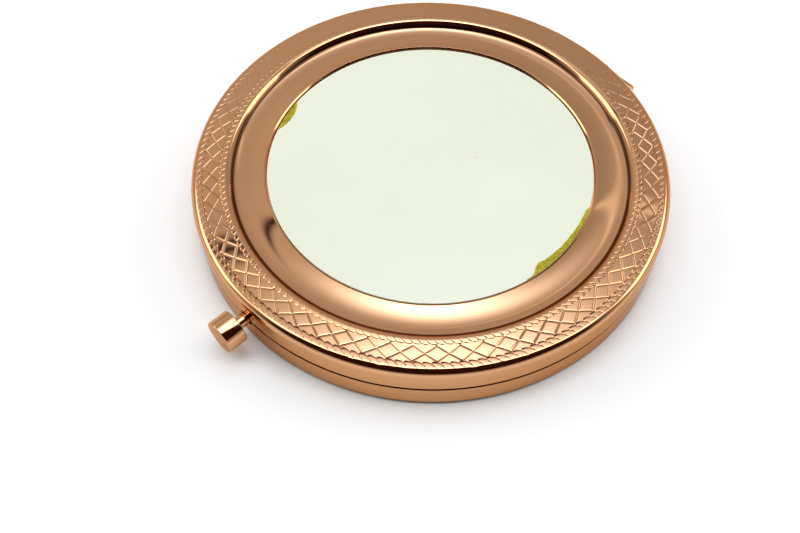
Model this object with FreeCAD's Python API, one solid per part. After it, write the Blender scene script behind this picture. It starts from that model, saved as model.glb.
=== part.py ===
import FreeCAD, Part
import math
import os

# Round compact mirror: a base pan and a lid pan on a rear hinge, released by a push button.
# Millimetres. Origin at the middle of the underside, +Z up, button towards -Y, hinge towards +Y.

# Case
case_radius = 35.0  # outside of both walls
wall = 1.0  # upright walls
sheet = 0.6  # floor of the base and top of the lid
seam_gap = 0.1  # dark line between the closed halves
seam_bevel = 0.15  # bevelled outer edges along the seam
foot_round = 0.6  # rounded lower edge of the base

# Heights in the base, from its floor up
base_pad_height = 0.5
glass_height = 1.2
base_mirror_depth = 1.57  # glass below the face of the base bezel
bezel_recess = 0.3  # bezels below the edges of the walls

# Heights in the lid, from its lower edge up
lid_mirror_depth = 0.5  # glass behind the face of the lid bezel
lid_pad_height = 0.3
film_height = 0.1
plate_height = 0.4
plate_depth = 0.77  # plate below the rolled edge of the lid

# Face of the lid, from its edge inwards
edge_round = 0.8  # rolled edge between wall and rim
rim_width = 4.1  # engraved band from the rolled edge to the shoulder
rim_crown = 0.25  # rise of the rim towards its shoulder
shoulder_round = 0.9  # convex turn from the rim into the step
step_drop = 1.04  # from the shoulder down to the ring
step_lean = 50  # degrees below level
root_round = 1.9  # hollow turn from the step into the ring
crease_lean = 33  # degrees below level, where that turn meets the step
ring_width = 3.94  # dished ring
ring_sag = 0.2  # hollow of the dished ring
lip_width = 0.15  # narrow lip around the recess
lip_rise = 0.2  # lip above the plate
insert_gap = 0.2
plate_round = 0.12
step_backing = 0.2  # thickness behind the step

# Glue
film_margin = 0.4  # film short of the edge of the plate
bead_width = 0.9
bead_height = 0.18
bead_margin = 0.05  # beads short of the edge of the plate
bead_spans = ((194.9, 210.1), (-11.4, 27.1))  # degrees from +X

# Mirrors and bezels
mirror_clearance = 0.1
pad_margin = 3.0  # pads short of the edge of the glass
bezel_lap = 0.9  # bezel over the edge of the glass
bezel_flange = 0.9
bezel_round = 0.3
bezel_clearance = 0.1
skirt_wall = 0.7

# Hinge
knuckle_radius = 0.95
pin_radius = 0.45
pin_running_clearance = 0.05
pin_press_clearance = 0.01
pin_overhang = 0.12
barrel_gap = 0.1  # barrel outside the wall
centre_knuckle_length = 8.0
outer_knuckle_length = 5.1
knuckle_gap = 0.1
leaf_sheet = 0.75
leaf_solder_gap = 0.02
leaf_overhang = 0.6  # strap past the ends of the barrel
web_height = 0.7
web_clearance = 0.1  # webs clear of the seam
notch_clearance = 0.15  # walls clear of the webs

# Button
knob_radius = 2.45
knob_length = 2.9
knob_round = 0.12
knob_socket = 1.4  # stem inside the knob
stem_radius = 0.9
stem_press_clearance = 0.01
stem_hole_clearance = 0.3
button_travel = 1.0
knob_stop_gap = 0.75  # knob clear of the wall when pressed

# Latch
latch_clearance = 0.1
slide_stop_gap = 0.2  # boss clear of the wall at rest
boss_wall = 0.35
boss_end = 0.5  # behind the end of the stem
bar_half_width = 3.0
bar_depth = 0.8
nose_length = 0.35
nose_height = 0.6
guide_sheet = 0.5
latch_headroom = 0.15  # latch below the flange of the base bezel
catch_sheet = 0.5
catch_hook = 0.5
catch_hook_height = 0.5
catch_drop_gap = 0.5  # hooks above the floor of the guide
catch_slot_clearance = 0.15
catch_tab_gap = 0.3  # tab clear of the step
window_clearance = 0.3
spring_wire_radius = 0.11
spring_radius = 0.7  # middle of the wire
spring_turns = 3
spring_block_length = 1.2  # spring with the button pressed

overrun = 1.0  # cuts past the faces that they open
full_turn = 360

# Places that follow from these sizes
inner_radius = case_radius - wall
base_mirror_top = sheet + base_pad_height + glass_height
base_bezel_top = base_mirror_top + base_mirror_depth
base_height = base_bezel_top + bezel_recess
base_flange_under = base_bezel_top - bezel_flange
seam_middle = base_height + seam_gap / 2
lid_bottom = base_height + seam_gap
lid_bezel_face = lid_bottom + bezel_recess
lid_mirror_face = lid_bezel_face + lid_mirror_depth
lid_ceiling = lid_mirror_face + glass_height + lid_pad_height
recess_floor = lid_ceiling + sheet
plate_under = recess_floor + film_height
plate_top = plate_under + plate_height
rim_edge = plate_top + plate_depth
rim_ceiling = rim_edge - sheet
lip_top = plate_top + lip_rise
crown_top = rim_edge + rim_crown
ring_outer_height = crown_top - step_drop

# Turn of the lid's face from its shoulder over the step into the dished ring
lean = math.radians(step_lean)
crease = math.radians(crease_lean)
ring_rise = lip_top - ring_outer_height
ring_chord = math.hypot(ring_width, ring_rise)
ring_radius = ring_chord**2 / (8 * ring_sag) + ring_sag / 2
ring_tilt = math.atan2(ring_rise, ring_width)
root_tilt = math.asin(ring_chord / 2 / ring_radius) - ring_tilt
head_run = shoulder_round * math.sin(lean)
head_drop = shoulder_round * (1 - math.cos(lean))
foot_run = root_round * (math.sin(crease) - math.sin(root_tilt))
foot_drop = root_round * (math.cos(root_tilt) - math.cos(crease))
step_run = (step_drop - head_drop - foot_drop) / math.tan(lean)
shoulder_radius = case_radius - edge_round - rim_width
ring_outer = shoulder_radius - head_run - step_run - foot_run
ring_inner = ring_outer - ring_width
recess_radius = ring_inner - lip_width
insert_radius = recess_radius - insert_gap
ring_low = (lip_top + ring_outer_height) / 2 - ring_sag * math.cos(ring_tilt)
rim_hollow = shoulder_radius + step_backing

hinge_y = case_radius + barrel_gap + knuckle_radius
barrel_half = centre_knuckle_length / 2 + knuckle_gap + outer_knuckle_length
strap_inner = inner_radius - leaf_sheet

catch_outer = math.sqrt(inner_radius**2 - bar_half_width**2) - latch_clearance
catch_inner = catch_outer - catch_sheet
hook_tip = catch_inner - catch_hook
nose_tip = hook_tip - latch_clearance
bar_front = nose_tip - nose_length
bar_back = bar_front - bar_depth
spring_length = button_travel + spring_block_length
guide_front = bar_back - spring_length
guide_back = guide_front - guide_sheet
skirt_outer = guide_back - latch_clearance
skirt_inner = skirt_outer - skirt_wall
mirror_radius = skirt_inner - mirror_clearance
guide_floor_top = sheet + guide_sheet
bar_under = guide_floor_top + latch_clearance
bar_top = base_flange_under - latch_headroom
boss_half_width = stem_radius + boss_wall
boss_front = inner_radius - slide_stop_gap
boss_top = seam_middle + boss_half_width
stem_end = bar_back + boss_end
knob_back = case_radius + button_travel + knob_stop_gap
catch_under = guide_floor_top + catch_drop_gap
hook_top = catch_under + catch_hook_height
window_half_width = bar_half_width + window_clearance
window_back = bar_back - button_travel - window_clearance

vector = FreeCAD.Vector
origin = vector(0, 0, 0)
up = vector(0, 0, 1)


def polar(centre, radius, degrees):
    """A point of an outline at an angle from the outward direction."""
    angle = math.radians(degrees)
    return (centre[0] + radius * math.cos(angle), centre[1] + radius * math.sin(angle))


def turned(start, steps, turn=full_turn, first=0):
    """A solid of revolution about Z. A step of one point is straight, and of two is an arc."""
    edges = []
    here = start
    for step in steps + [(start,)]:
        points = [vector(r, 0, z) for r, z in (here,) + tuple(step)]
        curve = Part.LineSegment(*points) if len(points) == 2 else Part.Arc(*points)
        edges.append(curve.toShape())
        here = step[-1]
    solid = Part.Face(Part.Wire(edges)).revolve(origin, up, turn)
    solid.rotate(origin, up, first)
    return solid


def ring(inner, outer, low, high, turn=full_turn, first=0):
    """A ring, or a sector of one, of rectangular section."""
    return turned((inner, low), [((outer, low),), ((outer, high),), ((inner, high),)], turn, first)


def disc(radius, low, high):
    """A round plate about Z."""
    return Part.makeCylinder(radius, high - low, vector(0, 0, low))


def block(x_span, y_span, z_span):
    """A box between two places along each axis."""
    low, high = zip(x_span, y_span, z_span)
    return Part.makeBox(*[b - a for a, b in zip(low, high)], vector(*[min(p) for p in zip(low, high)]))


def bar_along_y(radius, y_span, height):
    """A round bar along Y, over the middle of the case."""
    return Part.makeCylinder(radius, y_span[1] - y_span[0], vector(0, y_span[0], height), vector(0, 1, 0))


def bar_along_hinge(radius, x_span):
    """A round bar on the hinge axis."""
    start = vector(x_span[0], hinge_y, seam_middle)
    return Part.makeCylinder(radius, x_span[1] - x_span[0], start, vector(1, 0, 0))


def joined(solids):
    """Touching solids made into one."""
    whole = solids[0]
    for solid in solids[1:]:
        whole = whole.fuse(solid)
    return whole.removeSplitter()


# Places of the knuckles along the hinge
centre_span = (-centre_knuckle_length / 2, centre_knuckle_length / 2)
outer_start = centre_span[1] + knuckle_gap
outer_spans = ((outer_start, barrel_half), (-barrel_half, -outer_start))
base_web_top = base_height - web_clearance
base_web_span = (base_web_top - web_height, base_web_top)
lid_web_under = lid_bottom + web_clearance
lid_web_span = (lid_web_under, lid_web_under + web_height)


def stem_notch():
    """Round opening through the front of both walls for the stem of the button."""
    return bar_along_y(stem_radius + stem_hole_clearance, (-case_radius - overrun, -skirt_outer), seam_middle)


def web_notch(x_span, z_span):
    """Opening through the rear wall for one web of a hinge leaf."""
    wide = (x_span[0] - notch_clearance, x_span[1] + notch_clearance)
    return block(wide, (0, case_radius + overrun), z_span)


def base_shell():
    """Plain pan with a rounded lower edge."""
    foot = (case_radius - foot_round, foot_round)
    shell = turned((0, 0), [
        ((foot[0], 0),),
        (polar(foot, foot_round, -45), (case_radius, foot_round)),
        ((case_radius, base_height - seam_bevel),),
        ((case_radius - seam_bevel, base_height),),
        ((inner_radius, base_height),),
        ((inner_radius, sheet),),
        ((0, sheet),),
    ])
    shell = shell.cut(stem_notch())
    for span in outer_spans:
        opening = (base_web_span[0] - notch_clearance, base_height + overrun)
        shell = shell.cut(web_notch(span, opening))
    return shell


def lid_face():
    """Outline of the lid's face, from the edge of its wall to the middle of its recess."""
    edge = (case_radius - edge_round, rim_edge - edge_round)
    rim_radius = (rim_width**2 + rim_crown**2) / (2 * rim_crown)
    rim_turn = math.degrees(math.asin(rim_width / rim_radius))
    rim_middle = polar((shoulder_radius, crown_top - rim_radius), rim_radius, 90 - rim_turn / 2)
    shoulder = (shoulder_radius, crown_top - shoulder_round)
    step_head = polar(shoulder, shoulder_round, 90 + step_lean)
    step_foot = (ring_outer + foot_run, ring_outer_height + foot_drop)
    root = polar((ring_outer, ring_outer_height), root_round, 90 + math.degrees(root_tilt))
    root_middle = polar(root, root_round, (crease_lean + math.degrees(root_tilt)) / 2 - 90)
    ring_middle = ((ring_inner + ring_outer) / 2 - ring_sag * math.sin(ring_tilt), ring_low)
    start = (case_radius - seam_bevel, lid_bottom)
    return start, [
        ((case_radius, lid_bottom + seam_bevel),),
        ((case_radius, edge[1]),),
        (polar(edge, edge_round, 45), (edge[0], rim_edge)),
        (rim_middle, (shoulder_radius, crown_top)),
        (polar(shoulder, shoulder_round, 90 + step_lean / 2), step_head),
        (step_foot,),
        (root_middle, (ring_outer, ring_outer_height)),
        (ring_middle, (ring_inner, lip_top)),
        ((recess_radius, lip_top),),
        ((recess_radius, recess_floor),),
        ((0, recess_floor),),
    ]


def lid_shell():
    """Pan with a crowned rim, a step, a dished ring and a recess for the insert."""
    start, steps = lid_face()
    ring_hollow = recess_radius + sheet
    steps = steps + [
        ((0, lid_ceiling),),
        ((ring_hollow, lid_ceiling),),
        ((ring_hollow, ring_low - sheet),),
        ((rim_hollow, ring_low - sheet),),
        ((rim_hollow, rim_ceiling),),
        ((inner_radius, rim_ceiling),),
        ((inner_radius, lid_bottom),),
    ]
    shell = turned(start, steps).cut(stem_notch())
    opening = (lid_bottom - overrun, lid_web_span[1] + notch_clearance)
    return shell.cut(web_notch(centre_span, opening))


def insert_plate():
    """Round coated plate with a softened upper edge."""
    edge = (insert_radius - plate_round, plate_top - plate_round)
    return turned((0, plate_under), [
        ((insert_radius, plate_under),),
        ((insert_radius, edge[1]),),
        (polar(edge, plate_round, 45), (edge[0], plate_top)),
        ((0, plate_top),),
    ])


def insert_adhesive():
    """Glue film under the plate."""
    return disc(insert_radius - film_margin, recess_floor, plate_under)


def glue_squeeze_out():
    """Beads of glue that came up at the edge of the plate and set there."""
    outer = insert_radius - plate_round - bead_margin
    beads = [
        ring(outer - bead_width, outer, plate_top, plate_top + bead_height, last - first, first)
        for first, last in bead_spans
    ]
    return Part.makeCompound(beads)


def mirror(low):
    """Round glass."""
    return disc(mirror_radius, low, low + glass_height)


def mirror_pad(low, high):
    """Foam disc behind a glass."""
    return disc(mirror_radius - pad_margin, low, high)


def bezel(face, flange_back, glass, skirt_end, facing):
    """Inner ring that laps the glass, with a rounded inner edge. It faces up at 1 and down at -1."""
    inner = mirror_radius - bezel_lap
    outer = inner_radius - bezel_clearance
    bend = (inner + bezel_round, face - facing * bezel_round)
    whole = turned((inner, glass), [
        ((skirt_inner, glass),),
        ((skirt_inner, skirt_end),),
        ((skirt_outer, skirt_end),),
        ((skirt_outer, flange_back),),
        ((outer, flange_back),),
        ((outer, face),),
        ((bend[0], face),),
        (polar(bend, bezel_round, 180 - facing * 45), (inner, bend[1])),
    ])
    flange = sorted((flange_back - facing * overrun, face + facing * overrun))
    window = block((-window_half_width, window_half_width), (-case_radius, -window_back), flange)
    leaf_turn = 2 * strap_half_turn()
    leaf_inner = strap_inner - latch_clearance
    leaf_room = ring(leaf_inner, case_radius, flange[0], flange[1], leaf_turn, 90 - leaf_turn / 2)
    return whole.cut(window).cut(leaf_room)


def strap_half_turn():
    """Half the angle, in degrees, that the straps of the hinge leaves and their room take up."""
    return math.degrees(math.asin((barrel_half + leaf_overhang) / inner_radius))


def hinge_leaf(knuckle_spans, web_span, strap_span, bore_radius):
    """Curved strap inside a wall, with webs out to its knuckles on the hinge axis."""
    turn = 2 * (strap_half_turn() - math.degrees(math.atan2(latch_clearance, inner_radius)))
    strap_outer = inner_radius - leaf_solder_gap
    pieces = [ring(strap_inner, strap_outer, strap_span[0], strap_span[1], turn, 90 - turn / 2)]
    inside = disc(strap_inner, web_span[0] - overrun, web_span[1] + overrun)
    for span in knuckle_spans:
        pieces.append(block(span, (0, hinge_y), web_span).cut(inside))
        pieces.append(bar_along_hinge(knuckle_radius, span))
    return joined(pieces).cut(bar_along_hinge(bore_radius, (-case_radius, case_radius)))


def base_hinge_leaf():
    """Leaf of the base, with the two outer knuckles that hold the pin."""
    return hinge_leaf(outer_spans, base_web_span, (sheet, base_web_top), pin_radius + pin_press_clearance)


def lid_hinge_leaf():
    """Leaf of the lid, with the centre knuckle that turns on the pin."""
    strap_span = (lid_web_under, rim_ceiling)
    return hinge_leaf((centre_span,), lid_web_span, strap_span, pin_radius + pin_running_clearance)


def hinge_pin():
    """Pin that shows a little at both ends of the barrel."""
    half = barrel_half + pin_overhang
    return bar_along_hinge(pin_radius, (-half, half))


def button_knob():
    """Turned knob with softened edges and a socket for the stem."""
    face = knob_back + knob_length
    low = (knob_radius - knob_round, knob_back + knob_round)
    high = (knob_radius - knob_round, face - knob_round)
    knob = turned((0, knob_back), [
        ((low[0], knob_back),),
        (polar(low, knob_round, -45), (knob_radius, low[1])),
        ((knob_radius, high[1]),),
        (polar(high, knob_round, 45), (high[0], face)),
        ((0, face),),
    ])
    knob.rotate(origin, vector(1, 0, 0), 90)
    knob.translate(vector(0, 0, seam_middle))
    socket = (-knob_back - knob_socket, -knob_back + overrun)
    return knob.cut(bar_along_y(stem_radius + stem_press_clearance, socket, seam_middle))


def button_stem():
    """Thin stem from the knob through the notch into the latch slide."""
    return bar_along_y(stem_radius, (-knob_back - knob_socket, -stem_end), seam_middle)


def latch_slide():
    """Boss on the stem above a cross bar with two noses."""
    boss_x = (-boss_half_width, boss_half_width)
    bar_x = (-bar_half_width, bar_half_width)
    nose_under = hook_top + latch_clearance
    slide = joined([
        block(boss_x, (-boss_front, -bar_back), (bar_under, boss_top)),
        block(bar_x, (-bar_front, -bar_back), (bar_under, bar_top)),
        block(bar_x, (-nose_tip, -bar_front), (nose_under, nose_under + nose_height)),
    ])
    bore = bar_along_y(stem_radius + stem_press_clearance, (-case_radius, -stem_end), seam_middle)
    return slide.cut(bore)


def latch_guide():
    """Open channel on the floor of the base, with a back wall that seats the spring."""
    inner_half = bar_half_width + latch_clearance
    outer_half = inner_half + guide_sheet
    long = (-hook_tip + latch_clearance, -guide_back)
    channel = block((-outer_half, outer_half), long, (sheet, bar_top))
    front = (long[0] - overrun, -guide_front)
    return channel.cut(block((-inner_half, inner_half), front, (guide_floor_top, bar_top + overrun)))


def lid_catch():
    """Hook plate soldered under the rim, forked around the boss of the slide."""
    half = bar_half_width
    slot_half = boss_half_width + catch_slot_clearance
    tab_end = rim_hollow + catch_tab_gap
    catch = joined([
        block((-half, half), (-catch_outer, -catch_inner), (catch_under, rim_ceiling)),
        block((-half, half), (-catch_inner, -hook_tip), (catch_under, hook_top)),
        block((-half, half), (-catch_inner, -tab_end), (rim_ceiling - catch_sheet, rim_ceiling)),
    ])
    slot_y = (-catch_outer - overrun, -hook_tip + overrun)
    slot_z = (catch_under - overrun, boss_top + catch_slot_clearance)
    return catch.cut(block((-slot_half, slot_half), slot_y, slot_z))


def biarc(start, start_way, end, end_way):
    """Two arcs that leave one point and reach the next along the given unit directions."""
    gap = end - start
    both = start_way + end_way
    a = 2 * (start_way.dot(end_way) - 1)
    b = -2 * gap.dot(both)
    c = gap.dot(gap)
    reach = (-b - math.sqrt(b * b - 4 * a * c)) / (2 * a)
    reach = reach if reach > 0 else (-b + math.sqrt(b * b - 4 * a * c)) / (2 * a)
    corners = (start + start_way * reach, end - end_way * reach)
    middle = (corners[0] + corners[1]) * 0.5
    arcs = []
    for first, corner, last in ((start, corners[0], middle), (middle, corners[1], end)):
        weight = (last - first).Length / 2 / (corner - first).Length
        half_way = (first + corner * (2 * weight) + last) * (1 / (2 + 2 * weight))
        arcs.append(Part.Arc(first, half_way, last).toShape())
    return arcs


def latch_spring():
    """Compression coil between the slide and the back of the guide, as one unbroken wire."""
    height = (bar_under + bar_top) / 2
    first = -bar_back + spring_wire_radius
    advance = (spring_length - 2 * spring_wire_radius) / spring_turns
    quarters = 4 * spring_turns

    def place(turns):
        x, rise = polar((0, height), spring_radius, full_turn * turns)
        return vector(x, first + advance * turns, rise)

    def way(turns):
        angle = 2 * math.pi * turns
        pull = 2 * math.pi * spring_radius
        return vector(-pull * math.sin(angle), advance, pull * math.cos(angle)).normalize()

    edges = []
    for k in range(quarters):
        a, b = k / 4, (k + 1) / 4
        edges += biarc(place(a), way(a), place(b), way(b))
    path = Part.Wire(edges)
    section = Part.Wire([Part.Circle(place(0), way(0), spring_wire_radius).toShape()])
    coil = path.makePipeShell([section], True, False)
    print("spring: gap between turns", round(advance - 2 * spring_wire_radius, 3),
          "volume share", round(coil.Volume / (math.pi * spring_wire_radius**2 * path.Length), 4))
    return coil


parts = {
    "base_shell": base_shell(),
    "base_mirror_pad": mirror_pad(sheet, sheet + base_pad_height),
    "base_mirror": mirror(sheet + base_pad_height),
    "base_bezel": bezel(base_bezel_top, base_flange_under, base_mirror_top, sheet, 1),
    "base_hinge_leaf": base_hinge_leaf(),
    "hinge_pin": hinge_pin(),
    "latch_guide": latch_guide(),
    "latch_spring": latch_spring(),
    "lid_shell": lid_shell(),
    "insert_plate": insert_plate(),
    "insert_adhesive": insert_adhesive(),
    "glue_squeeze_out": glue_squeeze_out(),
    "lid_mirror_pad": mirror_pad(lid_mirror_face + glass_height, lid_ceiling),
    "lid_mirror": mirror(lid_mirror_face),
    "lid_bezel": bezel(lid_bezel_face, lid_bezel_face + bezel_flange, lid_mirror_face, lid_ceiling, -1),
    "lid_hinge_leaf": lid_hinge_leaf(),
    "lid_catch": lid_catch(),
    "button_knob": button_knob(),
    "button_stem": button_stem(),
    "latch_slide": latch_slide(),
}

os.makedirs("parts", exist_ok=True)
for name, shape in parts.items():
    shape.exportStep("parts/" + name + ".step")
    box = shape.optimalBoundingBox(False, False)
    print(name, "solids", len(shape.Solids), "valid", shape.isValid(), "volume", round(shape.Volume, 2),
          "z", round(box.ZMin, 3), round(box.ZMax, 3))
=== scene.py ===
"""Looks of a round pocket compact mirror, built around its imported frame.

Meshes are written in millimetres in the frame of the object and scaled to metres when they are made.
The origin is the middle of the underside, +Z is up, the button is towards -Y and the hinge towards +Y.
"""
import logging
import math
from dataclasses import dataclass
from enum import Enum
from typing import Callable, Iterable, Sequence

import bmesh
import bpy
from mathutils import Matrix, Vector


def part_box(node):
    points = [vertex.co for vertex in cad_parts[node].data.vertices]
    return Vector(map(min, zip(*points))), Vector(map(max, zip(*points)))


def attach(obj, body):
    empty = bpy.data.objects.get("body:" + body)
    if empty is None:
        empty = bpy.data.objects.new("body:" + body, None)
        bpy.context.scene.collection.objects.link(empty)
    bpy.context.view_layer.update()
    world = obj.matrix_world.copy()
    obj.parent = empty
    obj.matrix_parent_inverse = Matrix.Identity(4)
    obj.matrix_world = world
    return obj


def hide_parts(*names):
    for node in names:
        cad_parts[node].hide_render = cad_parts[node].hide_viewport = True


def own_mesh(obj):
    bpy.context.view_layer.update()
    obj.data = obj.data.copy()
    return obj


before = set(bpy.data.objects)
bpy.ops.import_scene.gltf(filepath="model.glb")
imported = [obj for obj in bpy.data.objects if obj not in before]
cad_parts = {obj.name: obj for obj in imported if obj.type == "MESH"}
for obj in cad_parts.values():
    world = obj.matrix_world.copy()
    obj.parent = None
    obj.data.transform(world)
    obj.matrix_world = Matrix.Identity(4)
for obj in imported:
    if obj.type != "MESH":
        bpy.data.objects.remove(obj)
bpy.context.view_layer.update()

log = logging.getLogger("compact_mirror")

MM = 0.001
TURN = 2 * math.pi
WELD = 0.001
ARC_STEP = 6.0
SMALL = 1e-6
ENGRAVING = "engraving"

Spot = tuple[float, float]
Cell = tuple[int, int]
Height = Callable[[float], float]
Colour = tuple[float, float, float]


class Body(Enum):
    """Bodies of the frame that pieces ride on."""

    BASE = "base"
    LID = "lid"
    BUTTON = "button"


class Slot(Enum):
    """Material slots of the record."""

    ROSE_GOLD = "rose_gold_plate"
    PLATED_PLASTIC = "plated_plastic"
    MIRROR = "mirror_glass"
    WHITE = "coated_white"
    GLUE = "glue"
    FOAM = "foam_pad"
    STEEL = "steel"


class Side(Enum):
    """Sides of the case that have notches in their walls."""

    FRONT = -1
    REAR = 1

    def angle(self, across: float, radius: float) -> float:
        """Angle about the case at which a circle passes a place across it.

        Args:
            across: Place along X.
            radius: Radius of the circle.

        Returns:
            Angle from +X in radians.
        """
        return self.value * (math.pi / 2 - math.asin(across / radius))


def extent(node: str) -> tuple[Vector, Vector]:
    """Lowest and highest corner of a node of the frame, in millimetres.

    Args:
        node: Name of the node.

    Returns:
        The two corners.
    """
    low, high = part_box(node)
    return low / MM, high / MM


def polar(centre: Spot, radius: float, degrees: float) -> Spot:
    """A spot of an outline at an angle from the outward direction.

    Args:
        centre: Radius and height of the arc's centre.
        radius: Radius of the arc.
        degrees: Angle from the outward direction.

    Returns:
        Radius and height of the spot.
    """
    angle = math.radians(degrees)
    return centre[0] + radius * math.cos(angle), centre[1] + radius * math.sin(angle)


class Outline:
    """Outline of a turned shape, made of straight runs and arcs."""

    def __init__(self, start: Spot) -> None:
        """Starts the outline at a spot."""
        self.spots: list[Spot] = [start]

    def to(self, *spots: Spot) -> "Outline":
        """Goes straight to each spot in turn.

        Args:
            spots: Radius and height of each.

        Returns:
            The outline itself.
        """
        for spot in spots:
            if math.dist(spot, self.spots[-1]) > SMALL:
                self.spots.append(spot)
        return self

    def arc(
        self, centre: Spot, radius: float, first: float, last: float, step: float = ARC_STEP
    ) -> "Outline":
        """Goes along an arc.

        Args:
            centre: Radius and height of its centre.
            radius: Its radius.
            first: Angle at which it starts, in degrees from the outward direction.
            last: Angle at which it ends.
            step: Turn from one spot to the next, about.

        Returns:
            The outline itself.
        """
        steps = max(3, round(abs(last - first) / step))
        turns = [first + (last - first) * k / steps for k in range(steps + 1)]
        return self.to(*[polar(centre, radius, turn) for turn in turns])

    def corner(self, spot: Spot, following: Spot, rounding: float) -> "Outline":
        """Goes to a corner and turns there in a small arc.

        Args:
            spot: The corner.
            following: A spot on the run that follows it.
            rounding: Radius of the arc.

        Returns:
            The outline itself.
        """
        here = Vector(spot)
        back = (Vector(self.spots[-1]) - here).normalized()
        ahead = (Vector(following) - here).normalized()
        half = back.angle(ahead) / 2
        run = rounding / math.tan(half)
        centre = here + (back + ahead).normalized() * (rounding / math.sin(half))
        steps = 6
        for k in range(steps + 1):
            share = k / steps
            chord = (here + back * run).lerp(here + ahead * run, share)
            spoke = (chord - centre).normalized() * rounding
            self.to(tuple(centre + spoke))
        return self


@dataclass(frozen=True)
class Placement:
    """Axis that a turned shape is placed about."""

    origin: Vector
    out: Vector
    across: Vector
    along: Vector

    def point(self, radius: float, angle: float, height: float) -> Vector:
        """Place of a point of the turned shape.

        Args:
            radius: Distance from the axis.
            angle: Angle about the axis in radians.
            height: Distance along the axis.

        Returns:
            The point in millimetres.
        """
        spoke = self.out * math.cos(angle) + self.across * math.sin(angle)
        return self.origin + spoke * radius + self.along * height


X_AXIS = Vector((1, 0, 0))
Y_AXIS = Vector((0, 1, 0))
Z_AXIS = Vector((0, 0, 1))
UPRIGHT = Placement(Vector(), X_AXIS, Y_AXIS, Z_AXIS)


@dataclass(frozen=True)
class Row:
    """A closed row of points about an axis, in the order of their angles."""

    points: list[int]
    angles: list[float]

    def unrolled(self, start: float) -> list[tuple[float, int]]:
        """Angles and points from a start angle once round to the first point again.

        Args:
            start: Angle to start from, in radians.

        Returns:
            Pairs of the turn from the start and the point.
        """
        turns = [(angle - start + SMALL) % TURN for angle in self.angles]
        pairs = sorted(zip(turns, self.points))
        return pairs + [(pairs[0][0] + TURN, pairs[0][1])]


class Skin:
    """A mesh in the making, with a share at each point for engraving, painted shade and the thinness of glue.
    """

    def __init__(self, placement: Placement = UPRIGHT) -> None:
        """Starts an empty mesh about an axis."""
        self.placement = placement
        self.points: list[Vector] = []
        self.engraving: list[float] = []
        self.faces: list[tuple[int, ...]] = []

    def add(self, point: Vector, engraving: float = 0.0) -> int:
        """Adds a point.

        Args:
            point: Its place in millimetres.
            engraving: Its share of engraving.

        Returns:
            Its number.
        """
        self.points.append(point)
        self.engraving.append(engraving)
        return len(self.points) - 1

    def row(self, places: Iterable[tuple[float, float, float, float]]) -> Row:
        """Adds a closed row of points.

        Args:
            places: Angle, radius, height and share of engraving of each, in the order of the angles.

        Returns:
            The row.
        """
        points, angles = [], []
        for angle, radius, height, cut in places:
            points.append(self.add(self.placement.point(radius, angle, height), cut))
            angles.append(angle)
        return Row(points, angles)

    def ring(self, spot: Spot, count: int, cut: float = 0.0) -> Row:
        """Adds a plain circle of points.

        Args:
            spot: Its radius and height.
            count: How many points it has.
            cut: Its share of engraving; on the lid's crease and the base's foot it holds painted shade
                instead.

        Returns:
            The row.
        """
        return self.row((TURN * k / count, spot[0], spot[1], cut) for k in range(count))

    def loop(self, points: Sequence[Vector]) -> Row:
        """Adds a closed row of points given by their places."""
        angles = [TURN * k / len(points) for k in range(len(points))]
        return Row([self.add(point) for point in points], angles)

    def bridge(self, first: Row, second: Row) -> Row:
        """Fills the strip between two closed rows, with triangles where their counts differ.

        Args:
            first: One row.
            second: The other row.

        Returns:
            The second row.
        """
        if len(first.points) == len(second.points):
            for k in range(len(first.points)):
                sides = first.points[k - 1], first.points[k], second.points[k], second.points[k - 1]
                self.faces.append(sides)
            return second
        a = first.unrolled(first.angles[0])
        b = second.unrolled(first.angles[0])
        i = j = 0
        while i < len(a) - 1 or j < len(b) - 1:
            if j == len(b) - 1 or (i < len(a) - 1 and a[i + 1][0] <= b[j + 1][0]):
                self.faces.append((a[i][1], a[i + 1][1], b[j][1]))
                i += 1
            else:
                self.faces.append((a[i][1], b[j + 1][1], b[j][1]))
                j += 1
        return second

    def cap(self, row: Row, middle: Vector) -> None:
        """Closes a row with a fan of triangles.

        Args:
            row: The row.
            middle: Place of the fan's middle.
        """
        centre = self.add(middle)
        for k in range(len(row.points)):
            self.faces.append((row.points[k - 1], row.points[k], centre))

    def turn(self, outline: Outline, count: int) -> None:
        """Turns an outline that starts and ends on the axis into a closed shape.

        Args:
            outline: The outline.
            count: Points around.
        """
        inner = [spot for spot in outline.spots if spot[0] > SMALL]
        rows = [self.ring(spot, count) for spot in inner]
        for first, second in zip(rows, rows[1:]):
            self.bridge(first, second)
        for row, spot in ((rows[0], outline.spots[0]), (rows[-1], outline.spots[-1])):
            self.cap(row, self.placement.point(0.0, 0.0, spot[1]))

    def made(self, name: str, sharp: float = 30.0) -> bpy.types.Object:
        """Makes the object, with equal points welded and the faces turned outwards.

        Args:
            name: Name of the piece.
            sharp: Turn in degrees over which an edge shows as sharp.

        Returns:
            The object, in metres.
        """
        shape = bmesh.new()
        layer = shape.verts.layers.float.new(ENGRAVING)
        verts = [shape.verts.new(point * MM) for point in self.points]
        for vert, share in zip(verts, self.engraving):
            vert[layer] = share
        for face in self.faces:
            shape.faces.new([verts[k] for k in face]).smooth = True
        bmesh.ops.remove_doubles(shape, verts=shape.verts[:], dist=WELD * MM)
        bmesh.ops.dissolve_degenerate(shape, dist=WELD * MM / 10, edges=shape.edges[:])
        bmesh.ops.recalc_face_normals(shape, faces=shape.faces[:])
        mesh = bpy.data.meshes.new(name)
        shape.to_mesh(mesh)
        shape.free()
        mesh.set_sharp_from_angle(angle=math.radians(sharp))
        piece = bpy.data.objects.new(name, mesh)
        bpy.context.scene.collection.objects.link(piece)
        return piece


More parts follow.
